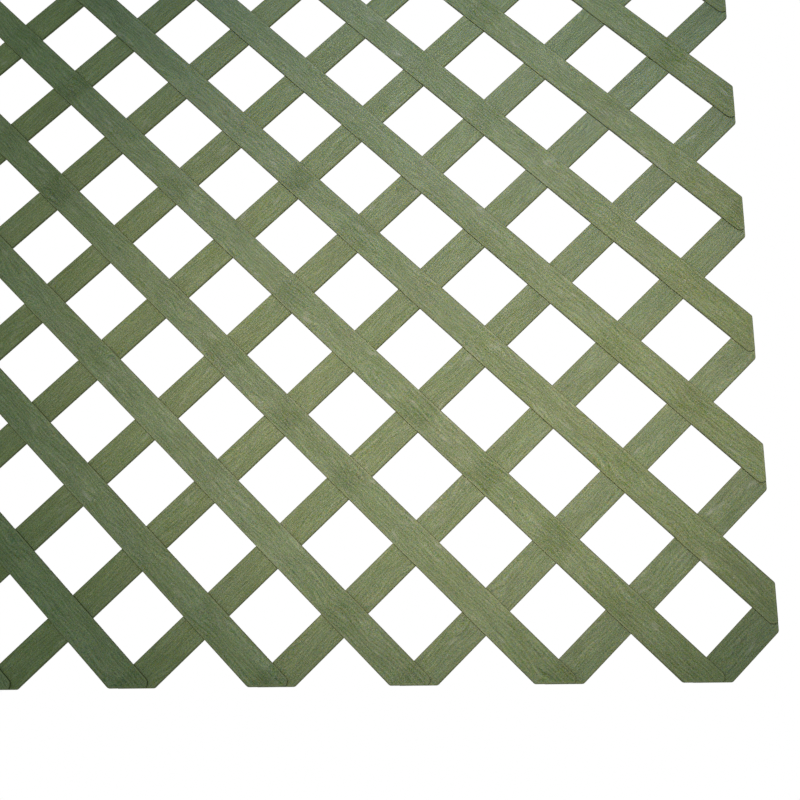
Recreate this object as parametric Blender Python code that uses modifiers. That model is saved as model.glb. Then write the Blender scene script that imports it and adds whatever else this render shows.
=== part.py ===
# Diamond lattice panel for a garden, in moulded green plastic with an embossed wood grain.
# Two layers of straight slats cross at right angles, each turned 45 degrees to the panel's edges. At every
# crossing the inner faces are lapped into each other, and on the real panel they are welded there.
#
# Metres, +Z up. The panel stands upright in the XZ plane with its front facing -Y. The origin is at the middle
# of its bottom edge, halfway through its thickness.

from math import cos, pi, sin, tan

import bmesh
import bpy
from mathutils import Matrix, Vector

# Driving dimensions
DIAMOND_PITCH = 0.1524     # from one point of the panel's edge to the next, and from diamond to diamond
COLUMNS = 16               # diamonds along the bottom edge
ROWS = 8                   # diamonds up the side
SLAT_WIDTH = 0.036
SLAT_THICKNESS = 0.0032
LAP_DEPTH = 0.0016         # how deep the front and back layers sink into each other at a crossing
RIM_CHAMFER = 0.0006       # taken off the rim of each slat's outer face
WELD_GAP = 0.0003          # left between the faces that the weld joins on the real panel
CORNER_RADIUS = 0.004      # rounds the blunt corner of each slat's end
NOSE_RADIUS = 0.007        # of the quarter round nose that ends each slat's sharp tip
ARC_STEPS = 3              # straight steps in each eighth of a circle at a slat's end

# Worked out from the driving dimensions
HALF_PITCH = DIAMOND_PITCH / 2
PANEL_WIDTH = COLUMNS * DIAMOND_PITCH
PANEL_THICKNESS = 2 * SLAT_THICKNESS - LAP_DEPTH
LAST_COLUMN_LINE = 2 * COLUMNS      # crossings lie on a grid of half-pitch lines, counted from the lower left
LAST_ROW_LINE = 2 * ROWS
TOWARDS_VIEWER = Vector((0, -1, 0))


def plastic(name, colour, roughness):
    material = bpy.data.materials.new(name)
    material.use_nodes = True
    shader = material.node_tree.nodes["Principled BSDF"]
    shader.inputs["Base Color"].default_value = (*colour, 1)
    shader.inputs["Roughness"].default_value = roughness
    shader.inputs["Metallic"].default_value = 0
    material.diffuse_color = (*colour, 1)
    return material


def grid_point(column_line, row_line):
    return Vector((column_line * HALF_PITCH - PANEL_WIDTH / 2, 0, row_line * HALF_PITCH))


# The front slats run down to the right. Along one slat, column_line + row_line stays the same odd number.
def front_slat_ends():
    for total in range(1, LAST_COLUMN_LINE + LAST_ROW_LINE, 2):
        left = max(0, total - LAST_ROW_LINE)
        low = max(0, total - LAST_COLUMN_LINE)
        yield (left, total - left), (total - low, low)


# The back slats run up to the right. Along one slat, column_line - row_line stays the same odd number.
def back_slat_ends():
    for offset in range(1 - LAST_ROW_LINE, LAST_COLUMN_LINE, 2):
        low = max(0, -offset)
        high = min(LAST_ROW_LINE, LAST_COLUMN_LINE - offset)
        yield (low + offset, low), (high + offset, high)


# A slat's own frame: X along the slat, Y across it and Z towards the viewer, with its first end at the origin.
def slat_frame(first, last):
    along = (grid_point(*last) - grid_point(*first)).normalized()
    across = TOWARDS_VIEWER.cross(along)
    axes = Matrix((along, across, TOWARDS_VIEWER)).transposed()
    return Matrix.Translation(grid_point(*first)) @ axes.to_4x4()


# Which way the panel's edge crosses a slat's end: 1 where it runs along (1, 1) in the slat's frame, else -1.
def edge_lean(end, frame):
    on_side = end[0] in (0, LAST_COLUMN_LINE)
    edge = Vector((0, 0, 1)) if on_side else Vector((1, 0, 0))
    local = frame.to_3x3().transposed() @ edge
    return 1 if local.x * local.y > 0 else -1


# Part of a circle in eighths, anticlockwise.
def arc(centre_x, centre_y, radius, first_angle, eighths):
    angles = [first_angle + pi / 4 * step / ARC_STEPS for step in range(eighths * ARC_STEPS + 1)]
    return [(centre_x + radius * cos(angle), centre_y + radius * sin(angle)) for angle in angles]


# The quarter round nose at a slat's far end, round the middle of its last crossing. It starts on the panel's
# edge, which cuts the slat through that middle, and ends on the slat's side.
def nose(margin):
    half = SLAT_WIDTH / 2
    return arc(half - 2 * NOSE_RADIUS, half - NOSE_RADIUS, NOSE_RADIUS + margin, 0, 2)


# The far end of a slat, anticlockwise: its rounded blunt corner, the panel's edge, then the nose.
def slat_end():
    half = SLAT_WIDTH / 2
    corner = arc(-half - CORNER_RADIUS * tan(pi / 8), CORNER_RADIUS - half, CORNER_RADIUS, -pi / 2, 1)
    return corner + nose(0)


# The far end of what a slat's lap takes from a crossing slat: the same nose, then square past the panel's edge.
def lap_end():
    square_corner = (SLAT_WIDTH / 2 - NOSE_RADIUS + WELD_GAP, -SLAT_WIDTH / 2 - WELD_GAP)
    return [square_corner] + nose(WELD_GAP)


def leaning(points, lean):
    return points if lean > 0 else [(x, -y) for x, y in reversed(points)]


def outline(length, end, first_lean, last_lean):
    far = [(length + x, y) for x, y in leaning(end, last_lean)]
    near = [(-x, -y) for x, y in leaning(end, first_lean)]
    return far + near


def slat_curve(name, points):
    curve = bpy.data.curves.new(name, "CURVE")
    curve.dimensions = "2D"
    curve.fill_mode = "BOTH"
    curve.extrude = SLAT_THICKNESS / 2
    spline = curve.splines.new("POLY")
    spline.points.add(len(points) - 1)
    for point, (x, y) in zip(spline.points, points):
        point.co = (x, y, 0, 1)
    spline.use_cyclic_u = True
    return bpy.data.objects.new(name, curve)


# A curve made a mesh, its caps welded to its sides and each flat cap one face.
def meshed(source, collection, weld_within=0.00001, flat_within=0.01):
    collection.objects.link(source)
    bpy.context.view_layer.update()
    evaluated = source.evaluated_get(bpy.context.evaluated_depsgraph_get())
    mesh = bpy.data.meshes.new_from_object(evaluated)
    shape = bmesh.new()
    shape.from_mesh(mesh)
    bmesh.ops.remove_doubles(shape, verts=shape.verts, dist=weld_within)
    bmesh.ops.dissolve_limit(shape, angle_limit=flat_within, verts=shape.verts, edges=shape.edges)
    shape.to_mesh(mesh)
    shape.free()
    name = source.name
    solid = bpy.data.objects.new(name + "_solid", mesh)
    solid.matrix_world = source.matrix_world
    curve = source.data
    bpy.data.objects.remove(source)
    bpy.data.curves.remove(curve)
    solid.name = name
    mesh.name = name
    collection.objects.link(solid)
    return solid


# Layers: outer is 1 for the layer towards the viewer and -1 for the one behind it.
def chamfer_outer_rim(solid, outer):
    mesh = solid.data
    weights = mesh.attributes.new("bevel_weight_edge", "FLOAT", "EDGE")
    for edge in mesh.edges:
        heights = [outer * mesh.vertices[corner].co.z for corner in edge.vertices]
        weights.data[edge.index].value = 1 if min(heights) > 0 else 0
    chamfer = solid.modifiers.new("rim chamfer", "BEVEL")
    chamfer.limit_method = "WEIGHT"
    chamfer.width = RIM_CHAMFER
    chamfer.segments = 1


def slat(name, first, last, outer, material, lap_cutter, collection):
    frame = slat_frame(first, last)
    length = (grid_point(*last) - grid_point(*first)).length
    points = outline(length, slat_end(), edge_lean(first, frame), edge_lean(last, frame))
    solid = meshed(slat_curve(name, points), collection)
    to_layer = Matrix.Translation(outer * TOWARDS_VIEWER * (PANEL_THICKNESS - SLAT_THICKNESS) / 2)
    solid.matrix_world = to_layer @ frame
    solid.data.materials.append(material)
    chamfer_outer_rim(solid, outer)
    laps = solid.modifiers.new("laps", "BOOLEAN")
    laps.operation = "DIFFERENCE"
    laps.solver = "EXACT"
    laps.object = lap_cutter
    return solid


# A closed prism between two heights of a slat's frame.
def add_prism(shape, points, low, high, frame):
    floor = [shape.verts.new(frame @ Vector((x, y, low))) for x, y in points]
    roof = [shape.verts.new(frame @ Vector((x, y, high))) for x, y in points]
    shape.faces.new(reversed(floor))
    shape.faces.new(roof)
    for corner in range(len(points)):
        shape.faces.new((floor[corner - 1], floor[corner], roof[corner], roof[corner - 1]))


# What the laps take from a layer: one bar along each slat that crosses it, WELD_GAP wider on either side and
# round each nose, so that the slat keeps its thickness past the nose. The bars' outer faces, which are the laps'
# floors, lie half of WELD_GAP out from the middle of the panel.
def laps_cutter(name, crossing_slat_ends, outer, collection):
    shape = bmesh.new()
    floor = outer * WELD_GAP / 2
    opening = floor - outer * (LAP_DEPTH + WELD_GAP)
    for first, last in crossing_slat_ends:
        frame = slat_frame(first, last)
        length = (grid_point(*last) - grid_point(*first)).length
        points = outline(length, lap_end(), edge_lean(first, frame), edge_lean(last, frame))
        add_prism(shape, points, min(floor, opening), max(floor, opening), frame)
    mesh = bpy.data.meshes.new(name)
    shape.to_mesh(mesh)
    shape.free()
    cutter = bpy.data.objects.new(name, mesh)
    cutter.display_type = "WIRE"
    cutter.hide_render = True
    collection.objects.link(cutter)
    return cutter


def build_panel():
    for old in list(bpy.data.objects):
        bpy.data.objects.remove(old)
    panel = bpy.data.collections.new("Lattice panel")
    cutters = bpy.data.collections.new("Cutters")
    bpy.context.scene.collection.children.link(panel)
    bpy.context.scene.collection.children.link(cutters)

    front_plastic = plastic("front slat plastic", (0.185, 0.225, 0.115), 0.6)
    front_laps = laps_cutter("laps in the front slats", back_slat_ends(), 1, cutters)
    for number, (first, last) in enumerate(front_slat_ends(), 1):
        slat(f"front_slat_{number:02d}", first, last, 1, front_plastic, front_laps, panel)

    back_plastic = plastic("back slat plastic", (0.17, 0.21, 0.105), 0.6)
    back_laps = laps_cutter("laps in the back slats", front_slat_ends(), -1, cutters)
    for number, (first, last) in enumerate(back_slat_ends(), 1):
        slat(f"back_slat_{number:02d}", first, last, -1, back_plastic, back_laps, panel)


build_panel()
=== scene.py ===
# Garden lattice panel in green plastic, embossed like sawn wood.
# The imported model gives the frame. Every slat here stands for the CAD slat of the same number.
from math import pi, radians, sqrt, tan

import bpy
from mathutils import Matrix, Vector


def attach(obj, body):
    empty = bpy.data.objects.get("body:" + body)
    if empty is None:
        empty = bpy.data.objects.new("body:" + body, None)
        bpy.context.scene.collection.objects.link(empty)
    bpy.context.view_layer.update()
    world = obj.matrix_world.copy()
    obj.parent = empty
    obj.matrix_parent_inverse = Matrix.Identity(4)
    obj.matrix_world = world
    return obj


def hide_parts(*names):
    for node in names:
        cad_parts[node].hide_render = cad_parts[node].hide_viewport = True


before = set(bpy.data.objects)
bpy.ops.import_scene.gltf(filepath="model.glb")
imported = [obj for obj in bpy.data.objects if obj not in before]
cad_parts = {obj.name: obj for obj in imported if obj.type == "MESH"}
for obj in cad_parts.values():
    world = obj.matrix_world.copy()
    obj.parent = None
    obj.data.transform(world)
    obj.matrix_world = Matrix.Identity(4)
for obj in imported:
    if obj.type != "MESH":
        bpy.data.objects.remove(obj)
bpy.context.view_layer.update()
scene = bpy.context.scene


# sRGB hex to the linear colour that a shader socket takes.
def hexColour(code):
    channels = [int(code[i:i + 2], 16) / 255 for i in (1, 3, 5)]
    linear = [c / 12.92 if c <= 0.04045 else ((c + 0.055) / 1.055) ** 2.4 for c in channels]
    return (*linear, 1)


# Adds a node with its settings to a tree. Each input goes by its name or number, and is given a value, or linked
# from an output, or from a node's first output.
def addNode(tree, kind, inputs=None, **settings):
    node = tree.nodes.new(kind)
    for name, value in settings.items():
        setattr(node, name, value)
    for name, value in (inputs or {}).items():
        if isinstance(value, bpy.types.Node):
            value = value.outputs[0]
        if isinstance(value, bpy.types.NodeSocket):
            tree.links.new(value, node.inputs[name])
        else:
            node.inputs[name].default_value = value
    return node


# Camera: where the photograph was taken from, low in front of the panel's right part and looking up.
# The sizes in pixels are the photograph's: 800 wide, and the point the lens looks straight at is right of
# the middle and above it.
cameraValues = {
    "place": (1.0374, -1.4958, -0.2267),
    "looksAlong": (-0.0995, 0.9145, 0.3923),
    "up": (0.0361, -0.3906, 0.9198),
    "imageWidth": 800,
    "focalPixels": 1407.1,
    "straightAheadX": 450.5,
    "straightAheadY": 320.5,
    "sensorWidth": 36,           # millimetres
    "nearest": 0.05,
    "farthest": 60,
}


def makeCamera(values):
    data = bpy.data.cameras.new("photoCamera")
    width = values["imageWidth"]
    data.sensor_width = values["sensorWidth"]
    data.lens = values["focalPixels"] / width * data.sensor_width
    data.shift_x = (width / 2 - values["straightAheadX"]) / width
    data.shift_y = (values["straightAheadY"] - width / 2) / width
    data.clip_start, data.clip_end = values["nearest"], values["farthest"]
    backwards = -Vector(values["looksAlong"]).normalized()
    right = Vector(values["up"]).cross(backwards).normalized()
    axes = Matrix((right, backwards.cross(right), backwards)).transposed()
    camera = bpy.data.objects.new("photoCamera", data)
    camera.matrix_world = Matrix.Translation(values["place"]) @ axes.to_4x4()
    scene.collection.objects.link(camera)
    scene.camera = camera


makeCamera(cameraValues)
print("camera ready")


# Studio: white surroundings and a pale floor, whose light on the panel is even and a little green. A soft warm
# spot just above the camera is the main light and fades towards the picture's corners. The upper spot carries it
# on up the panel, and the left spot does so over the half that the picture leaves out. A weak blue spot cools
# the upper rows, and two soft lights fill the left half and the rear.
studioValues = {
    "surroundings": "#FFFFFF",
    "surroundingsOnPanel": "#E6FFEE",
    "surroundingsStrength": 0.295,   # how much of them reaches the panel as light
    "floorColour": "#ECEBE8",        # what lights the panel from below
    "floorSeen": "#8A8988",          # to the camera the floor is darker and glows, so that the spots hardly show
    "floorGlow": 0.80,
    "floorRoughness": 0.9,
    "floorHeight": -0.34,            # below the camera, which is itself below the panel's foot
    "floorSize": 14.0,
    "spotBlend": 1.0,                # each spot fades all the way from its middle to its rim
    "spots": (
        # name, place, aims at, half angle in degrees, radius, watts, colour
        ("cameraSpot", (1.04, -1.5, 0.0), (0.895, 0.0, 0.435), 22, 0.1, 98, "#FFE5E8"),
        ("leftSpot", (-0.65, -2.4, 0.65), (-0.65, 0.0, 0.6), 24, 0.3, 116, "#FFF2EE"),
        ("upperSpot", (0.95, -2.3, 1.7), (0.95, 0.0, 1.22), 14, 0.2, 89, "#FAF4EC"),
        ("coolSpot", (0.9, -1.5, 0.3), (0.92, 0.0, 1.00), 24, 0.1, 23, "#3F7CFF"),
    ),
    "softLights": (
        # name, place, aims at, width, height, watts
        ("leftLight", (-0.9, -1.4, 0.6), (-0.8, 0.0, 0.6), 1.2, 1.0, 6),
        ("rearLight", (0.3, 3.6, 2.0), (0.0, 0.0, 0.5), 2.6, 1.8, 100),
    ),
}


def addLamp(data, place, target, watts):
    data.energy = watts
    lamp = bpy.data.objects.new(data.name, data)
    forwards = Vector(target) - Vector(place)
    lamp.matrix_world = Matrix.Translation(place) @ forwards.to_track_quat("-Z", "Y").to_matrix().to_4x4()
    lamp.visible_camera = False
    scene.collection.objects.link(lamp)


def makeSurroundings(values):
    world = bpy.data.worlds.new("whiteStudio")
    world.use_nodes = True
    tree = world.node_tree
    tree.nodes.clear()
    seen = addNode(tree, "ShaderNodeBackground", {"Color": hexColour(values["surroundings"]), "Strength": 1.0})
    light = addNode(tree, "ShaderNodeBackground", {"Color": hexColour(values["surroundingsOnPanel"]),
                                                  "Strength": values["surroundingsStrength"]})
    ray = addNode(tree, "ShaderNodeLightPath")
    choice = addNode(tree, "ShaderNodeMixShader", {0: ray.outputs["Is Camera Ray"],
                                                   1: light.outputs[0], 2: seen.outputs[0]})
    addNode(tree, "ShaderNodeOutputWorld", {"Surface": choice.outputs[0]})
    scene.world = world


def makeFloor(values):
    half = values["floorSize"] / 2
    corners = [(x * half, y * half, values["floorHeight"]) for x, y in ((-1, -1), (1, -1), (1, 1), (-1, 1))]
    mesh = bpy.data.meshes.new("studioFloor")
    mesh.from_pydata(corners, [], [(0, 1, 2, 3)])
    paint = bpy.data.materials.new("pale studio floor")
    paint.use_nodes = True
    tree = paint.node_tree
    shader = tree.nodes["Principled BSDF"]
    shader.inputs["Emission Color"].default_value = hexColour(values["floorColour"])
    shader.inputs["Roughness"].default_value = values["floorRoughness"]
    ray = addNode(tree, "ShaderNodeLightPath")
    base = addNode(tree, "ShaderNodeMix", {0: ray.outputs["Is Camera Ray"], 6: hexColour(values["floorColour"]),
                                           7: hexColour(values["floorSeen"])}, data_type="RGBA")
    tree.links.new(base.outputs[2], shader.inputs["Base Color"])
    glow = addNode(tree, "ShaderNodeMath", {0: ray.outputs["Is Camera Ray"], 1: values["floorGlow"]},
                   operation="MULTIPLY")
    tree.links.new(glow.outputs[0], shader.inputs["Emission Strength"])
    mesh.materials.append(paint)
    floor = bpy.data.objects.new("studioFloor", mesh)
    scene.collection.objects.link(floor)


def makeLights(values):
    for name, place, target, halfAngle, radius, watts, colour in values["spots"]:
        data = bpy.data.lights.new(name, "SPOT")
        data.spot_size = radians(2 * halfAngle)
        data.spot_blend = values["spotBlend"]
        data.shadow_soft_size = radius
        data.color = hexColour(colour)[:3]
        addLamp(data, place, target, watts)
    for name, place, target, width, height, watts in values["softLights"]:
        data = bpy.data.lights.new(name, "AREA")
        data.shape = "RECTANGLE"
        data.size, data.size_y = width, height
        addLamp(data, place, target, watts)


scene.view_settings.view_transform = "Standard"
makeSurroundings(studioValues)
makeFloor(studioValues)
makeLights(studioValues)
print("studio ready")


# Plastic: polyethylene moulded against a textured tool. The eye sees a dull green with a soft sheen, speckled with
# fine grain and streaked along each slat. Its bits lean to blue or olive and to grey or fresh green, a few are
# pale flecks, and a thin border round each face is smooth. Painted light lies over it: a highlight on that border,
# shade along each face's edge and, on average, at the crossings, and a cool sheen that drifts over the sheet.
# Widths and lengths are in metres, across and along the slat.
plasticValues = {
    "blueGreen": "#607F70",
    "oliveGreen": "#888F44",
    "greyGreen": "#82816E",
    "freshGreen": "#6C8D4C",
    "hueSpread": 0.205,       # how far from its middle a bit's noise is when the bit is all one hue
    "paler": "#7A836F",       # what a paler spot gains and a darker one lacks: greyer than the plastic
    "fleck": "#B4BCAA",
    "fleckStart": 0.66,       # where a fleck begins in its noise, and where it has its whole share
    "fleckFull": 0.78,
    "fleckShare": 0.5,
    # a paler, yellower painted highlight along the smooth border
    "smoothBorderHighlight": "#808A5E",
    "borderHighlightShare": 0.35,
    "edgeShadePower": 1.3,         # how quickly the painted edge shade fades into the face
    "scuff": "#B9BCB0",
    "scuffStart": 0.64,
    "scuffFull": 0.78,
    "scuffShare": 0.35,
    "ior": 1.51,              # polyethylene
    "roughness": 0.62,
    "roughnessSpread": 0.08,  # the hollows are so much rougher and the tops so much smoother
    "roughestHeight": 0.6,
    "smoothestHeight": 1.2,
    "grainWidth": 0.0008,     # the real tool's finest grain is nearer 0.3 mm, and this is as fine as shows
    "grainLength": 0.0015,
    "streakWidth": 0.0011,
    "streakLength": 0.020,
    "streakHeight": 0.6,      # beside the grain's own height, which goes from 0 to 1
    "groovePitch": 0.0042,    # fine parallel grooves, whose phase wanders by up to so many turns
    "wanderTurns": 1.5,
    "wanderWidth": 0.011,
    "wanderLength": 0.035,
    "middleHeight": 0.80,     # of grain, streaks and grooves together, where the tone is even
    "hueWidth": 0.0012,
    "hueLength": 0.0024,
    "paintedSheenLength": 2.2,       # over the whole sheet a painted cool sheen turns the hue to blue and back to olive
    "scuffWidth": 0.010,
    "scuffLength": 0.028,
    "patchWidth": 0.022,
    "patchLength": 0.060,
    "bluePatches": 0.13,      # how far a patch leans to blue or olive, and to grey or fresh green
    "greyPatches": 0.18,
    "patchContrast": 0.3,
    "hollowTone": -0.03,      # what the relief's hollows add to the tone, and the painted shade of the darkest crossings
    "paintedCrossingShade": -0.20,
    "bumpHeight": 0.0008,
    "anisotropy": 0.8,        # the tool marks spread the sheen along the slat
}
# Each layer's slats run along their own way and have their own colour for the painted shade along their edges,
# darker in the front layer. The hue drifts to either side of a place that is so many metres right of the panel's
# middle, and the opposite way in the back layer. A groove's height is beside the grain's own, and the grain's
# contrast is how much of its height goes into the tone.
layerValues = {
    "front": {"along": (1, 0, -1), "paintedEdgeShade": "#3F4726", "paintedSheen": 0.045, "paintedSheenMiddle": 1.05,
              "grooveHeight": 0.065, "grainContrast": 1.36},
    "back": {"along": (1, 0, 1), "paintedEdgeShade": "#545D32", "paintedSheen": -0.040, "paintedSheenMiddle": 0.72,
             "grooveHeight": 0.045, "grainContrast": 1.31},
}


def mouldedPlastic(layer, values):
    own = layerValues[layer]
    material = bpy.data.materials.new("moulded green polyethylene, " + layer)
    material.use_nodes = True
    tree = material.node_tree
    maths = "ShaderNodeMath"
    shader = tree.nodes["Principled BSDF"]
    shader.inputs["Metallic"].default_value = 0
    shader.inputs["IOR"].default_value = values["ior"]

    # Left by the slats' own tree: a place in metres along, across and through the slat, each slat's shifted.
    place = addNode(tree, "ShaderNodeAttribute", attribute_name="grainPlace").outputs["Vector"]
    hollow = addNode(tree, "ShaderNodeAttribute", attribute_name="grainDepth").outputs["Fac"]
    border = addNode(tree, "ShaderNodeAttribute", attribute_name="smoothBorderHighlight").outputs["Fac"]
    crossing = addNode(tree, "ShaderNodeAttribute", attribute_name="nearCrossing").outputs["Fac"]
    edgeShade = addNode(tree, "ShaderNodeAttribute", attribute_name="paintedEdgeShade").outputs["Fac"]

    def pattern(name, detail):
        width, length = values[name + "Width"], values[name + "Length"]
        scaled = addNode(tree, "ShaderNodeVectorMath", {0: place, 1: (1 / length, 1 / width, 1 / width)},
                         operation="MULTIPLY")
        return addNode(tree, "ShaderNodeTexNoise", {"Vector": scaled, "Scale": 1.0, "Detail": detail})

    grain = pattern("grain", 1.0)
    streaks = pattern("streak", 1.0)
    wander = addNode(tree, maths, {0: pattern("wander", 1.0), 1: 2 * pi * values["wanderTurns"]},
                     operation="MULTIPLY")
    across = addNode(tree, "ShaderNodeSeparateXYZ", {0: place}).outputs[1]
    grooveAngle = addNode(tree, maths, {0: across, 1: 2 * pi / values["groovePitch"], 2: wander},
                          operation="MULTIPLY_ADD")
    grooves = addNode(tree, maths, {0: grooveAngle}, operation="SINE")
    hues = addNode(tree, "ShaderNodeSeparateColor", {0: pattern("hue", 1.0).outputs["Color"]}).outputs
    patches = addNode(tree, "ShaderNodeSeparateColor", {0: pattern("patch", 2.0).outputs["Color"]}).outputs

    # A painted cool sheen: the hue drifts to blue and back to olive across the sheet, the opposite way in the back
    # layer.
    sheetPlace = addNode(tree, "ShaderNodeTexCoord").outputs["Object"]
    sheetX = addNode(tree, "ShaderNodeSeparateXYZ", {0: sheetPlace}).outputs[0]
    fromMiddle = addNode(tree, maths, {0: sheetX, 1: own["paintedSheenMiddle"]}, operation="SUBTRACT")
    paintedSheenAngle = addNode(tree, maths, {0: fromMiddle, 1: 2 * pi / values["paintedSheenLength"]}, operation="MULTIPLY")
    paintedSheenWave = addNode(tree, maths, {0: paintedSheenAngle}, operation="SINE")
    sheenedHue = addNode(tree, maths, {0: paintedSheenWave, 1: own["paintedSheen"], 2: hues[0]}, operation="MULTIPLY_ADD")

    # The bits' hues, with more of one kind or another by patches.
    def bits(patch, weight, bit, first, second):
        both = addNode(tree, maths, {0: patch, 1: weight, 2: bit}, operation="MULTIPLY_ADD")
        middle = (1 + weight) / 2
        share = addNode(tree, "ShaderNodeMapRange", {0: both, 1: middle - values["hueSpread"],
                                                     2: middle + values["hueSpread"]})
        return addNode(tree, "ShaderNodeMix", {0: share, 6: hexColour(values[first]),
                                               7: hexColour(values[second])}, data_type="RGBA").outputs[2]

    blueOrOlive = bits(patches[0], values["bluePatches"], sheenedHue, "blueGreen", "oliveGreen")
    greyOrFresh = bits(patches[1], values["greyPatches"], hues[1], "greyGreen", "freshGreen")
    hue = addNode(tree, "ShaderNodeMix", {0: 0.5, 6: blueOrOlive, 7: greyOrFresh}, data_type="RGBA").outputs[2]

    # The grain's height, with streaks and grooves in it. Hollows are darker and tops paler, and patches are the
    # one or the other. Crossings carry painted shade, darker on average where the two layers lie together, and
    # each its own random shade.
    streaked = addNode(tree, maths, {0: streaks, 1: values["streakHeight"], 2: grain}, operation="MULTIPLY_ADD")
    height = addNode(tree, maths, {0: grooves, 1: own["grooveHeight"], 2: streaked}, operation="MULTIPLY_ADD")
    raised = addNode(tree, maths, {0: height, 1: values["middleHeight"]}, operation="SUBTRACT")
    grainTone = addNode(tree, maths, {0: raised, 1: own["grainContrast"]}, operation="MULTIPLY")
    patchTone = addNode(tree, maths, {0: patches[2], 1: values["patchContrast"], 2: -values["patchContrast"] / 2},
                        operation="MULTIPLY_ADD")
    mixedTone = addNode(tree, maths, {0: grainTone, 1: patchTone}, operation="ADD")
    sunkTone = addNode(tree, maths, {0: hollow, 1: values["hollowTone"], 2: mixedTone}, operation="MULTIPLY_ADD")
    # Painted shade at the crossings, darker on average, with each crossing's own random shade.
    tone = addNode(tree, maths, {0: crossing, 1: values["paintedCrossingShade"], 2: sunkTone}, operation="MULTIPLY_ADD")
    toned = addNode(tree, "ShaderNodeVectorMath", {0: hexColour(values["paler"])[:3], 1: tone, 2: hue},
                    operation="MULTIPLY_ADD")

    # Over it lie the pale flecks, the scuffs, the painted highlight on the smooth border and the painted shade
    # along the edge, in that order.
    fleckShare = addNode(tree, "ShaderNodeMapRange", {
        0: hues[2], 1: values["fleckStart"], 2: values["fleckFull"], 3: 0.0, 4: values["fleckShare"]})
    scuffShare = addNode(tree, "ShaderNodeMapRange", {
        0: pattern("scuff", 3.0), 1: values["scuffStart"], 2: values["scuffFull"], 3: 0.0,
        4: values["scuffShare"]})
    # painted highlight on the smooth border
    borderHighlightShare = addNode(tree, maths, {0: border, 1: values["borderHighlightShare"]}, operation="MULTIPLY")
    # painted shade along each face's edge
    edgeShadeShare = addNode(tree, maths, {0: edgeShade, 1: values["edgeShadePower"]}, operation="POWER")
    colour = toned
    for share, code in ((fleckShare, values["fleck"]), (scuffShare, values["scuff"]),
                        (borderHighlightShare, values["smoothBorderHighlight"]), (edgeShadeShare, own["paintedEdgeShade"])):
        colour = addNode(tree, "ShaderNodeMix", {0: share, 6: colour, 7: hexColour(code)},
                         data_type="RGBA").outputs[2]
    tree.links.new(colour, shader.inputs["Base Color"])

    rough = addNode(tree, "ShaderNodeMapRange", {
        0: height, 1: values["roughestHeight"], 2: values["smoothestHeight"],
        3: values["roughness"] + values["roughnessSpread"], 4: values["roughness"] - values["roughnessSpread"]})
    tree.links.new(rough.outputs[0], shader.inputs["Roughness"])
    embossed = addNode(tree, maths, {0: 1.0, 1: border}, operation="SUBTRACT")
    bump = addNode(tree, "ShaderNodeBump", {"Height": height, "Distance": values["bumpHeight"],
                                            "Strength": embossed})
    tree.links.new(bump.outputs[0], shader.inputs["Normal"])
    shader.inputs["Anisotropic"].default_value = values["anisotropy"]
    alongSlat = addNode(tree, "ShaderNodeVectorTransform", {0: own["along"]}, vector_type="VECTOR",
                        convert_from="OBJECT", convert_to="WORLD")
    tree.links.new(alongSlat.outputs[0], shader.inputs["Tangent"])
    return material


# Slats: Geometry Nodes bend a fine box to the slat's outline, emboss it, and cut the laps where others cross.
slatValues = {
    "pitch": 0.1524,              # the panel's diamonds, from one point of its edge to the next
    "columns": 16,
    "rows": 8,
    "width": 0.036,
    "thickness": 0.0032,
    "lapDepth": 0.0016,           # how deep the two layers sink into each other
    "weldGap": 0.0003,
    "outerRimRadius": 0.00045,
    "innerRimRadius": 0.0003,
    "cornerRadius": 0.004,        # the blunt corner of a slat's end
    "noseRadius": 0.007,          # the quarter round nose that ends its sharp tip
    "noseSides": 32,              # straight sides of the whole circle that a lap is cut to round a nose
    "endWidths": 1.5,             # how many of the slat's widths an end's form fades out over
    "borderWidth": 0.0016,        # smooth border round the embossed face
    "fieldStart": 0.7,            # how many border widths in the embossed face begins, and where it is full
    "fieldFull": 1.4,
    "edgeWidth": 0.0008,          # band of painted shade round each face, at the crossings and along the openings
    "openEdgeWidth": 0.0018,
    "crossingEdge": 0.75,         # how much of that painted shade is left where the weld fills the edge
    "crossingNear": 0.9,          # a crossing's painted shade fades between these, in half widths from its middle
    "crossingFar": 1.1,
    "palestCrossing": -0.35,      # each crossing's own shade, from paler than the plastic to the darkest painted shade
    "darkestCrossing": 1.0,
    "fieldDepth": 0.0001,         # how far the embossed face lies under its border
    "reliefDepth": 0.00015,
    "reliefWidth": 0.0026,        # from one broad ridge to the next, across and along
    "reliefLength": 0.022,
    "hollowNoise": 0.3,           # where its noise is a hollow's floor, and where a ridge's top
    "ridgeNoise": 0.7,
    "bendAcross": 0.009,          # how far the grain wanders, and over what length
    "bendLength": 0.060,
    "bendSquash": 2.5,            # how much sooner that changes across the slat than along it
    "seedAlong": 0.37,            # metres of grain from one slat's seed to the next, along and across
    "seedAcross": 0.1,
    "seedBend": 3.7,              # how far apart in the noise are two slats' bends, and one slat's two faces
    "faceStep": 5.0,
    "cellLength": 0.008,          # mesh cells along the slat, far from its ends
    "cellsAcross": 40,
    "endCells": 10.0,             # over how many cells from an end they grow to that length
    "mergeWithin": 0.000002,      # corners that a cut leaves so close together become one
    "sharpAngle": 0.7,            # edges that bend more are shaded sharp, in radians
    "backSeed": 30,               # a back slat's seed is its number and this, a front slat's its number
}
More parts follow.
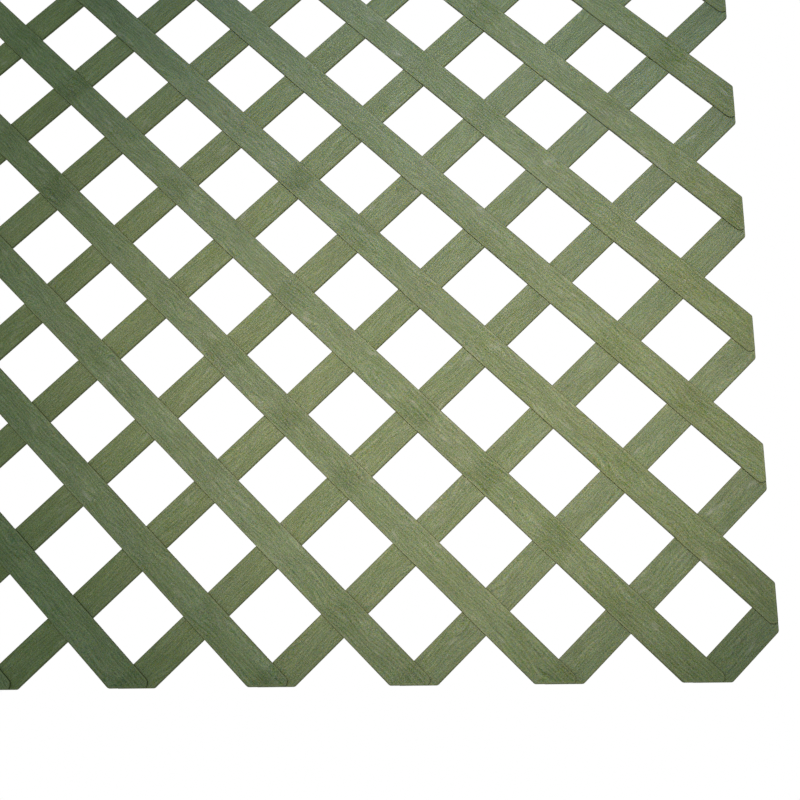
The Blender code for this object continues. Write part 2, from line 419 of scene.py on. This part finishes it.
# The tree's inputs that are the same for every slat, and the value that each takes.
sharedInputs = {
    "Width": "width", "Thickness": "thickness", "Lap depth": "lapDepth", "Weld gap": "weldGap",
    "Outer rim radius": "outerRimRadius", "Inner rim radius": "innerRimRadius",
    "Corner radius": "cornerRadius", "Nose radius": "noseRadius", "Border width": "borderWidth",
    "Edge width": "edgeWidth", "Open edge width": "openEdgeWidth", "Crossing edge": "crossingEdge",
    "Field depth": "fieldDepth", "Relief depth": "reliefDepth", "Relief width": "reliefWidth",
    "Relief length": "reliefLength", "Bend across": "bendAcross", "Bend length": "bendLength",
    "End cells": "endCells", "Cells across": "cellsAcross",
}
ownInputs = ("Length", "Crossing spacing", "Near end lean", "Far end lean", "Seed", "Cells along")
wholeInputs = ("Cells along", "Cells across")


def slatTree(values):
    tree = bpy.data.node_groups.new("embossedSlat", "GeometryNodeTree")
    for name in (*sharedInputs, *ownInputs):
        kind = "NodeSocketInt" if name in wholeInputs else "NodeSocketFloat"
        tree.interface.new_socket(name, in_out="INPUT", socket_type=kind)
    tree.interface.new_socket("Plastic", in_out="INPUT", socket_type="NodeSocketMaterial")
    tree.interface.new_socket("Slat", in_out="OUTPUT", socket_type="NodeSocketGeometry")
    given = addNode(tree, "NodeGroupInput").outputs
    maths, vectors, combine = "ShaderNodeMath", "ShaderNodeVectorMath", "ShaderNodeCombineXYZ"

    half = addNode(tree, maths, {0: given["Width"], 1: 0.5}, operation="MULTIPLY")
    halfLength = addNode(tree, maths, {0: given["Length"], 1: 0.5}, operation="MULTIPLY")
    lowerSide = addNode(tree, maths, {0: half, 1: -1}, operation="MULTIPLY")
    # The middles of the rounded corner's circle and of the nose's, from the middle of the slat's last crossing.
    cornerRadius, noseRadius = given["Corner radius"], given["Nose radius"]
    cornerX = addNode(tree, maths, {0: cornerRadius, 1: -tan(pi / 8), 2: lowerSide}, operation="MULTIPLY_ADD")
    cornerY = addNode(tree, maths, {0: cornerRadius, 1: half}, operation="SUBTRACT")
    noseX = addNode(tree, maths, {0: noseRadius, 1: -2.0, 2: half}, operation="MULTIPLY_ADD")
    noseY = addNode(tree, maths, {0: half, 1: noseRadius}, operation="SUBTRACT")

    # Which end a point belongs to, and how far it is across, turned so that every end leans the same way.
    def endPlace(along, across):
        side = addNode(tree, maths, {0: along}, operation="SIGN")
        isFar = addNode(tree, "FunctionNodeCompare", {0: along, 1: 0.0}, operation="GREATER_THAN")
        lean = addNode(tree, "GeometryNodeSwitch", {"Switch": isFar, "False": given["Near end lean"],
                                                   "True": given["Far end lean"]}, input_type="FLOAT")
        turned = addNode(tree, maths, {0: lean, 1: across}, operation="MULTIPLY")
        return side, addNode(tree, maths, {0: side, 1: turned}, operation="MULTIPLY")

    # How high a circle stands at some distance from its middle.
    def circleHeight(radius, away):
        radiusSquare = addNode(tree, maths, {0: radius, 1: radius}, operation="MULTIPLY")
        awaySquare = addNode(tree, maths, {0: away, 1: away}, operation="MULTIPLY")
        heightSquare = addNode(tree, maths, {0: radiusSquare, 1: awaySquare}, operation="SUBTRACT")
        return addNode(tree, maths, {0: heightSquare}, operation="SQRT")

    # The plan: cells grow from short ones at the ends, and rows crowd towards both edges.
    columns = addNode(tree, maths, {0: given["Cells along"], 1: 1}, operation="ADD")
    rows = addNode(tree, maths, {0: given["Cells across"], 1: 1}, operation="ADD")
    box = addNode(tree, "GeometryNodeMeshCube", {"Vertices X": columns, "Vertices Y": rows, "Vertices Z": 2})
    cell = addNode(tree, "ShaderNodeSeparateXYZ", {0: addNode(tree, "GeometryNodeInputPosition")}).outputs
    angle = addNode(tree, maths, {0: cell[1], 1: pi}, operation="MULTIPLY")
    across = addNode(tree, maths, {0: addNode(tree, maths, {0: angle}, operation="SINE"), 1: half},
                     operation="MULTIPLY")

    def grown(count):
        cube = addNode(tree, maths, {0: count, 1: 3}, operation="POWER")
        square = addNode(tree, maths, {0: count, 1: 2}, operation="POWER")
        ease = addNode(tree, maths, {0: given["End cells"], 1: given["End cells"], 2: square},
                       operation="MULTIPLY_ADD")
        return addNode(tree, maths, {0: cube, 1: ease}, operation="DIVIDE")

    halfCount = addNode(tree, maths, {0: given["Cells along"], 1: 0.5}, operation="MULTIPLY")
    inwards = addNode(tree, maths, {0: 0.5, 1: addNode(tree, maths, {0: cell[0]}, operation="ABSOLUTE")},
                      operation="SUBTRACT")
    count = addNode(tree, maths, {0: inwards, 1: given["Cells along"]}, operation="MULTIPLY")
    share = addNode(tree, maths, {0: grown(count), 1: grown(halfCount)}, operation="DIVIDE")
    fromEnd = addNode(tree, maths, {0: share, 1: halfLength}, operation="MULTIPLY")
    cellSide, cellTurned = endPlace(cell[0], across)

    # The outline at a slat's end: a rounded blunt corner, the panel's edge, then a quarter round nose.
    arcEnd = addNode(tree, maths, {0: cornerRadius, 1: 1 - sqrt(0.5), 2: lowerSide}, operation="MULTIPLY_ADD")
    onArc = addNode(tree, maths, {0: cellTurned, 1: arcEnd}, operation="MINIMUM")
    offMiddle = addNode(tree, maths, {0: onArc, 1: cornerY}, operation="SUBTRACT")
    arcReach = addNode(tree, maths, {0: cornerX, 1: circleHeight(cornerRadius, offMiddle)}, operation="ADD")
    pastArc = addNode(tree, maths, {0: cellTurned, 1: onArc}, operation="SUBTRACT")
    edgeReach = addNode(tree, maths, {0: arcReach, 1: pastArc}, operation="ADD")
    overNose = addNode(tree, maths, {0: cellTurned, 1: noseY}, operation="SUBTRACT")
    onNose = addNode(tree, maths, {0: overNose, 1: 0.0}, operation="MAXIMUM")
    noseReach = addNode(tree, maths, {0: noseX, 1: circleHeight(noseRadius, onNose)}, operation="ADD")
    reach = addNode(tree, maths, {0: edgeReach, 1: noseReach}, operation="MINIMUM")
    fadeLength = addNode(tree, maths, {0: given["Width"], 1: values["endWidths"]}, operation="MULTIPLY")
    faded = addNode(tree, "ShaderNodeMapRange", {0: fromEnd, 1: 0.0, 2: fadeLength, 3: 1.0, 4: 0.0})
    cellsEnd = addNode(tree, maths, {0: halfLength, 1: fromEnd}, operation="SUBTRACT")
    reached = addNode(tree, maths, {0: reach, 1: faded, 2: cellsEnd}, operation="MULTIPLY_ADD")
    along = addNode(tree, maths, {0: cellSide, 1: reached}, operation="MULTIPLY")
    height = addNode(tree, maths, {0: cell[2], 1: given["Thickness"]}, operation="MULTIPLY")
    onPlan = addNode(tree, combine, {0: along, 1: across, 2: height})
    flat = addNode(tree, "GeometryNodeSetPosition", {"Geometry": box, "Position": onPlan})

    # How far a point lies inside the outline.
    spot = addNode(tree, "ShaderNodeSeparateXYZ", {0: addNode(tree, "GeometryNodeInputPosition")}).outputs
    turned = endPlace(spot[0], spot[1])[1]
    beyond = addNode(tree, maths, {0: addNode(tree, maths, {0: spot[0]}, operation="ABSOLUTE"), 1: halfLength},
                     operation="SUBTRACT")
    pastNoseX = addNode(tree, maths, {0: beyond, 1: noseX}, operation="SUBTRACT")
    pastNoseY = addNode(tree, maths, {0: turned, 1: noseY}, operation="SUBTRACT")
    pastNose = addNode(tree, vectors, {0: addNode(tree, combine, {0: pastNoseX, 1: pastNoseY}), 1: (0, 0, 0)},
                       operation="MAXIMUM")
    noseLength = addNode(tree, vectors, {0: pastNose}, operation="LENGTH").outputs["Value"]
    fromNose = addNode(tree, maths, {0: noseRadius, 1: noseLength}, operation="SUBTRACT")
    fromSide = addNode(tree, maths, {0: addNode(tree, maths, {0: half, 1: turned}, operation="ADD"), 1: fromNose},
                       operation="MINIMUM")
    fromEdge = addNode(tree, maths, {0: addNode(tree, maths, {0: turned, 1: beyond}, operation="SUBTRACT"),
                                     1: sqrt(0.5)}, operation="MULTIPLY")
    nearer = addNode(tree, maths, {0: fromSide, 1: fromEdge}, operation="MINIMUM")
    pastX = addNode(tree, maths, {0: beyond, 1: cornerX}, operation="SUBTRACT")
    pastY = addNode(tree, maths, {0: cornerY, 1: turned}, operation="SUBTRACT")
    inWedge = addNode(tree, maths, {0: pastX, 1: addNode(tree, maths, {0: pastY, 1: pastX}, operation="SUBTRACT")},
                      operation="MINIMUM")
    cornerLength = addNode(tree, vectors, {0: addNode(tree, combine, {0: pastX, 1: pastY})}, operation="LENGTH")
    fromCorner = addNode(tree, maths, {0: cornerRadius, 1: cornerLength.outputs["Value"]}, operation="SUBTRACT")
    isCorner = addNode(tree, "FunctionNodeCompare", {0: inWedge, 1: 0.0}, operation="GREATER_THAN")
    fromOutline = addNode(tree, "GeometryNodeSwitch", {"Switch": isCorner, "False": nearer, "True": fromCorner},
                          input_type="FLOAT")
    inside = addNode(tree, maths, {0: fromOutline, 1: 0.0}, operation="MAXIMUM")

    # Each face's rim is rounded. Inside a smooth border, the face sinks a little and carries broad ridges.
    face = addNode(tree, maths, {0: spot[2]}, operation="SIGN")
    isOuter = addNode(tree, "FunctionNodeCompare", {0: spot[2], 1: 0.0}, operation="GREATER_THAN")
    rim = addNode(tree, "GeometryNodeSwitch", {"Switch": isOuter, "False": given["Inner rim radius"],
                                              "True": given["Outer rim radius"]}, input_type="FLOAT")
    short = addNode(tree, maths, {0: addNode(tree, maths, {0: rim, 1: inside}, operation="SUBTRACT"), 1: 0.0},
                    operation="MAXIMUM")
    rimDrop = addNode(tree, maths, {0: rim, 1: circleHeight(rim, short)}, operation="SUBTRACT")
    fieldStart = addNode(tree, maths, {0: given["Border width"], 1: values["fieldStart"]}, operation="MULTIPLY")
    fieldFull = addNode(tree, maths, {0: given["Border width"], 1: values["fieldFull"]}, operation="MULTIPLY")
    field = addNode(tree, "ShaderNodeMapRange", {0: inside, 1: fieldStart, 2: fieldFull, 3: 0.0, 4: 1.0},
                    interpolation_type="SMOOTHSTEP")

    perBend = addNode(tree, maths, {0: 1.0, 1: given["Bend length"]}, operation="DIVIDE")
    perBendAcross = addNode(tree, maths, {0: values["bendSquash"], 1: given["Bend length"]}, operation="DIVIDE")
    bendPlace = addNode(tree, vectors, {
        0: addNode(tree, combine, {0: spot[0], 1: spot[1], 2: given["Seed"]}),
        1: addNode(tree, combine, {0: perBend, 1: perBendAcross, 2: values["seedBend"]})}, operation="MULTIPLY")
    wander = addNode(tree, "ShaderNodeTexNoise", {"Vector": bendPlace, "Scale": 1.0, "Detail": 1.0})
    bend = addNode(tree, maths, {0: addNode(tree, maths, {0: wander, 1: 0.5}, operation="SUBTRACT"),
                                 1: given["Bend across"]}, operation="MULTIPLY")
    bentAcross = addNode(tree, maths, {0: bend, 1: 2.0, 2: spot[1]}, operation="MULTIPLY_ADD")
    grainX = addNode(tree, maths, {0: given["Seed"], 1: values["seedAlong"], 2: spot[0]},
                     operation="MULTIPLY_ADD")
    grainY = addNode(tree, maths, {0: given["Seed"], 1: values["seedAcross"], 2: bentAcross},
                     operation="MULTIPLY_ADD")
    ridgePlace = addNode(tree, combine, {
        0: addNode(tree, maths, {0: grainX, 1: given["Relief length"]}, operation="DIVIDE"),
        1: addNode(tree, maths, {0: grainY, 1: given["Relief width"]}, operation="DIVIDE"),
        2: addNode(tree, maths, {0: face, 1: values["faceStep"]}, operation="MULTIPLY")})
    ridges = addNode(tree, "ShaderNodeTexNoise", {"Vector": ridgePlace, "Scale": 1.0, "Detail": 1.0})
    hollow = addNode(tree, "ShaderNodeMapRange", {0: ridges, 1: values["hollowNoise"], 2: values["ridgeNoise"],
                                                  3: 1.0, 4: 0.0})
    reliefDrop = addNode(tree, maths, {0: hollow, 1: given["Relief depth"], 2: given["Field depth"]},
                         operation="MULTIPLY_ADD")
    drop = addNode(tree, maths, {0: reliefDrop, 1: field, 2: rimDrop}, operation="MULTIPLY_ADD")
    down = addNode(tree, maths, {0: addNode(tree, maths, {0: drop, 1: -1.0}, operation="MULTIPLY"), 1: face},
                   operation="MULTIPLY")
    embossed = addNode(tree, "GeometryNodeSetPosition", {"Geometry": flat,
                                                         "Offset": addNode(tree, combine, {2: down})})

    # The laps: one box out of the inner face at each crossing between the ends. Each layer gives half of the
    # lap's depth and half of the weld's gap.
    innerFace = addNode(tree, maths, {0: given["Thickness"], 1: -0.5}, operation="MULTIPLY")
    lapMiddle = addNode(tree, maths, {0: given["Weld gap"], 1: 0.25, 2: innerFace}, operation="MULTIPLY_ADD")
    lapHeight = addNode(tree, maths, {0: given["Weld gap"], 1: 0.5, 2: given["Lap depth"]},
                        operation="MULTIPLY_ADD")
    lapHalf = addNode(tree, maths, {0: half, 1: given["Weld gap"]}, operation="ADD")
    lapWidth = addNode(tree, maths, {0: lapHalf, 1: 2.0}, operation="MULTIPLY")
    spaces = addNode(tree, maths, {0: given["Length"], 1: given["Crossing spacing"]}, operation="DIVIDE")
    firstLap = addNode(tree, maths, {0: given["Crossing spacing"], 1: halfLength}, operation="SUBTRACT")
    lapCount = addNode(tree, maths, {0: addNode(tree, maths, {0: spaces, 1: 0.5}, operation="SUBTRACT")},
                       operation="FLOOR")
    points = addNode(tree, "GeometryNodeMeshLine", {
        "Count": lapCount, "Start Location": addNode(tree, combine, {0: firstLap, 2: lapMiddle}),
        "Offset": addNode(tree, combine, {0: given["Crossing spacing"]})})
    lapLength = addNode(tree, maths, {0: half, 1: 4.0}, operation="MULTIPLY")   # well past both of its edges
    lapBox = addNode(tree, "GeometryNodeMeshCube", {
        "Size": addNode(tree, combine, {0: lapWidth, 1: lapLength, 2: lapHeight})})
    boxes = addNode(tree, "GeometryNodeInstanceOnPoints", {"Points": points, "Instance": lapBox})

    # A lap at a slat's end stops round the crossing slat's nose, so that past the nose the slat stays thick.
    lapRound = addNode(tree, maths, {0: noseRadius, 1: given["Weld gap"]}, operation="ADD")
    lapFoot = addNode(tree, maths, {0: noseY, 1: given["Weld gap"]}, operation="ADD")
    toNose = addNode(tree, combine, {0: addNode(tree, maths, {0: noseY, 1: -1.0}, operation="MULTIPLY"),
                                     1: addNode(tree, maths, {0: noseX, 1: -1.0}, operation="MULTIPLY")})
    toFoot = addNode(tree, combine, {0: addNode(tree, maths, {0: lapHalf, 1: 0.5}, operation="MULTIPLY"),
                                     1: addNode(tree, maths, {0: lapFoot, 1: -0.5}, operation="MULTIPLY")})
    roundBar = addNode(tree, "GeometryNodeMeshCylinder", {"Vertices": values["noseSides"], "Radius": lapRound,
                                                          "Depth": lapHeight})
    footBar = addNode(tree, "GeometryNodeMeshCube", {
        "Size": addNode(tree, combine, {0: lapHalf, 1: lapFoot, 2: lapHeight})})
    upperBar = addNode(tree, "GeometryNodeMeshCube", {
        "Size": addNode(tree, combine, {0: lapWidth, 1: given["Width"], 2: lapHeight})})
    endBars = addNode(tree, "GeometryNodeJoinGeometry")
    for bar, shift in ((roundBar, toNose), (footBar, toFoot), (upperBar, addNode(tree, combine, {1: half}))):
        shifted = addNode(tree, "GeometryNodeTransform", {"Geometry": bar, "Translation": shift})
        tree.links.new(shifted.outputs[0], endBars.inputs[0])
    tools = addNode(tree, "GeometryNodeJoinGeometry")
    for way, lean in ((-1.0, given["Near end lean"]), (1.0, given["Far end lean"])):
        endX = addNode(tree, maths, {0: halfLength, 1: way}, operation="MULTIPLY")
        turnedWay = addNode(tree, maths, {0: lean, 1: way}, operation="MULTIPLY")
        placed = addNode(tree, "GeometryNodeTransform", {
            "Geometry": endBars, "Translation": addNode(tree, combine, {0: endX, 2: lapMiddle}),
            "Scale": addNode(tree, combine, {0: way, 1: turnedWay, 2: 1.0})})
        hull = addNode(tree, "GeometryNodeConvexHull", {"Geometry": placed})
        tree.links.new(hull.outputs[0], tools.inputs[0])
    tree.links.new(addNode(tree, "GeometryNodeRealizeInstances", {0: boxes}).outputs[0], tools.inputs[0])
    cut = addNode(tree, "GeometryNodeMeshBoolean", {"Mesh 1": embossed, "Mesh 2": tools},
                  operation="DIFFERENCE", solver="MANIFOLD")
    # The cut leaves a few edges of almost no length, which are closed. The faces of many corners that it leaves
    # are split well, or else two could share a triangle's edge.
    merged = addNode(tree, "GeometryNodeMergeByDistance", {"Geometry": cut, "Distance": values["mergeWithin"]},
                     mode="CONNECTED")
    corners = addNode(tree, "GeometryNodeInputMeshFaceNeighbors").outputs["Vertex Count"]
    isRagged = addNode(tree, "FunctionNodeCompare", {2: corners, 3: 4}, data_type="INT", operation="GREATER_THAN")
    lapped = addNode(tree, "GeometryNodeTriangulate", {"Mesh": merged, "Selection": isRagged},
                     ngon_method="BEAUTY")

    # What the plastic reads: the grain's own place, its depth, the border that carries the painted highlight, the
    # crossings' shade and the painted shade along the edges.
    halfSpacing = addNode(tree, maths, {0: given["Crossing spacing"], 1: 0.5}, operation="MULTIPLY")
    fromNearEnd = addNode(tree, maths, {0: spot[0], 1: halfLength}, operation="ADD")
    fromCrossing = addNode(tree, maths, {0: fromNearEnd, 1: halfSpacing}, operation="ADD")
    inSpace = addNode(tree, maths, {0: fromCrossing, 1: given["Crossing spacing"]}, operation="MODULO")
    offCrossing = addNode(tree, maths, {0: inSpace, 1: halfSpacing}, operation="SUBTRACT")
    away = addNode(tree, maths, {0: offCrossing}, operation="ABSOLUTE")
    crossingNear = addNode(tree, maths, {0: half, 1: values["crossingNear"]}, operation="MULTIPLY")
    crossingFar = addNode(tree, maths, {0: half, 1: values["crossingFar"]}, operation="MULTIPLY")
    nearCrossing = addNode(tree, "ShaderNodeMapRange", {0: away, 1: crossingNear, 2: crossingFar, 3: 1.0, 4: 0.0},
                           interpolation_type="SMOOTHSTEP")
    spacesIn = addNode(tree, maths, {0: fromCrossing, 1: given["Crossing spacing"]}, operation="DIVIDE")
    crossingNumber = addNode(tree, "FunctionNodeFloatToInt", {0: spacesIn}, rounding_mode="FLOOR")
    wholeSeed = addNode(tree, "FunctionNodeFloatToInt", {0: given["Seed"]}, rounding_mode="ROUND")
    ownShade = addNode(tree, "FunctionNodeRandomValue", {
        2: values["palestCrossing"], 3: values["darkestCrossing"], "ID": crossingNumber, "Seed": wholeSeed},
        data_type="FLOAT")
    # painted shade where the two layers overlap, scaled by each crossing's own random shade
    crossingShade = addNode(tree, maths, {0: nearCrossing, 1: ownShade.outputs[1]}, operation="MULTIPLY")
    border = addNode(tree, maths, {0: 1.0, 1: field}, operation="SUBTRACT")
    edgeHere = addNode(tree, "ShaderNodeMapRange", {0: nearCrossing, 1: 0.0, 2: 1.0, 3: given["Open edge width"],
                                                    4: given["Edge width"]})
    darkness = addNode(tree, "ShaderNodeMapRange", {0: nearCrossing, 1: 0.0, 2: 1.0, 3: 1.0,
                                                    4: given["Crossing edge"]})
    # A band of painted shade along each face's edge, standing in for the shaded side walls: wider along the
    # openings and lighter at the crossings.
    edgeShade = addNode(tree, "ShaderNodeMapRange", {0: inside, 1: 0.0, 2: edgeHere, 3: darkness, 4: 0.0})
    depth = addNode(tree, maths, {0: hollow, 1: field}, operation="MULTIPLY")
    grainPlace = addNode(tree, combine, {0: grainX, 1: grainY, 2: spot[2]})
    marked = lapped
    for name, kind, value in (("grainPlace", "FLOAT_VECTOR", grainPlace), ("grainDepth", "FLOAT", depth),
                              ("smoothBorderHighlight", "FLOAT", border), ("nearCrossing", "FLOAT", crossingShade),
                              ("paintedEdgeShade", "FLOAT", edgeShade)):
        marked = addNode(tree, "GeometryNodeStoreNamedAttribute", {"Geometry": marked, "Name": name,
                                                                  "Value": value}, data_type=kind, domain="POINT")
    smooth = addNode(tree, "GeometryNodeSetShadeSmooth", {"Geometry": marked, "Shade Smooth": True})
    bends = addNode(tree, "GeometryNodeInputMeshEdgeAngle").outputs["Unsigned Angle"]
    isSharp = addNode(tree, "FunctionNodeCompare", {0: bends, 1: values["sharpAngle"]}, operation="GREATER_THAN")
    creased = addNode(tree, "GeometryNodeSetShadeSmooth", {"Geometry": smooth, "Selection": isSharp,
                                                          "Shade Smooth": False}, domain="EDGE")
    real = addNode(tree, "GeometryNodeRealizeInstances", {0: creased})
    coloured = addNode(tree, "GeometryNodeSetMaterial", {"Geometry": real, "Material": given["Plastic"]})
    addNode(tree, "NodeGroupOutput", {"Slat": coloured})
    return tree


lastColumn, lastRow = 2 * slatValues["columns"], 2 * slatValues["rows"]   # lines of the panel's half-pitch grid


# A point of that grid, counted from the panel's lower left corner.
def gridPoint(column, row):
    half = slatValues["pitch"] / 2
    return Vector((column * half - slatValues["pitch"] * slatValues["columns"] / 2, 0, row * half))


# Front slats run down to the right, back slats up to the right. Each is (first end, last end).
def frontSlatEnds():
    for total in range(1, lastColumn + lastRow, 2):
        left, low = max(0, total - lastRow), max(0, total - lastColumn)
        yield (left, total - left), (total - low, low)


def backSlatEnds():
    for offset in range(1 - lastRow, lastColumn, 2):
        low, high = max(0, -offset), min(lastRow, lastColumn - offset)
        yield (low + offset, low), (high + offset, high)


# 1 where the panel's edge runs along (1, 1) of the slat's own axes, else -1.
def endLean(end, axes):
    edge = Vector((0, 0, 1)) if end[0] in (0, lastColumn) else Vector((1, 0, 0))
    local = axes.transposed() @ edge
    return 1.0 if local.x * local.y > 0 else -1.0


def makeSlat(name, cadNode, ends, outward, tree, plastic, seed, values):
    first, last = gridPoint(*ends[0]), gridPoint(*ends[1])
    length = (last - first).length
    along = (last - first).normalized()
    axes = Matrix((along, outward.cross(along), outward)).transposed()
    cells, reached = 2, 0.0
    while reached < length / 2:
        cells += 2
        reached = values["cellLength"] * (cells / 2) ** 3 / ((cells / 2) ** 2 + values["endCells"] ** 2)
    settings = {socket: values[key] for socket, key in sharedInputs.items()}
    settings.update({
        "Length": length, "Crossing spacing": values["pitch"] / sqrt(2), "Seed": float(seed),
        "Near end lean": endLean(ends[0], axes), "Far end lean": endLean(ends[1], axes),
        "Cells along": cells, "Plastic": plastic,
    })
    holder = bpy.data.objects.new(name + "Nodes", bpy.data.meshes.new(name + "Nodes"))
    nodes = holder.modifiers.new("slat", "NODES")
    nodes.node_group = tree
    for item in tree.interface.items_tree:
        if item.in_out == "INPUT":
            nodes[item.identifier] = settings[item.name]
    scene.collection.objects.link(holder)
    bpy.context.view_layer.update()
    shape = holder.evaluated_get(bpy.context.evaluated_depsgraph_get())
    mesh = bpy.data.meshes.new_from_object(shape)
    mesh.name = name
    starter = holder.data
    bpy.data.objects.remove(holder)
    bpy.data.meshes.remove(starter)
    layer = outward * (values["thickness"] - values["lapDepth"]) / 2
    mesh.transform(Matrix.Translation((first + last) / 2 + layer) @ axes.to_4x4())
    piece = bpy.data.objects.new(name, mesh)
    scene.collection.objects.link(piece)
    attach(piece, "root")
    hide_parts(cadNode)
    return piece


frontPlastic = mouldedPlastic("front", plasticValues)
backPlastic = mouldedPlastic("back", plasticValues)
tree = slatTree(slatValues)
towardsViewer = Vector((0, -1, 0))
for number, ends in enumerate(frontSlatEnds(), 1):
    piece = makeSlat(f"frontSlat{number:02d}", f"front_slat_{number:02d}", ends, towardsViewer, tree,
                     frontPlastic, number, slatValues)
print("front slats ready")
for number, ends in enumerate(backSlatEnds(), 1):
    piece = makeSlat(f"backSlat{number:02d}", f"back_slat_{number:02d}", ends, -towardsViewer, tree,
                     backPlastic, number + slatValues["backSeed"], slatValues)
print("back slats ready")
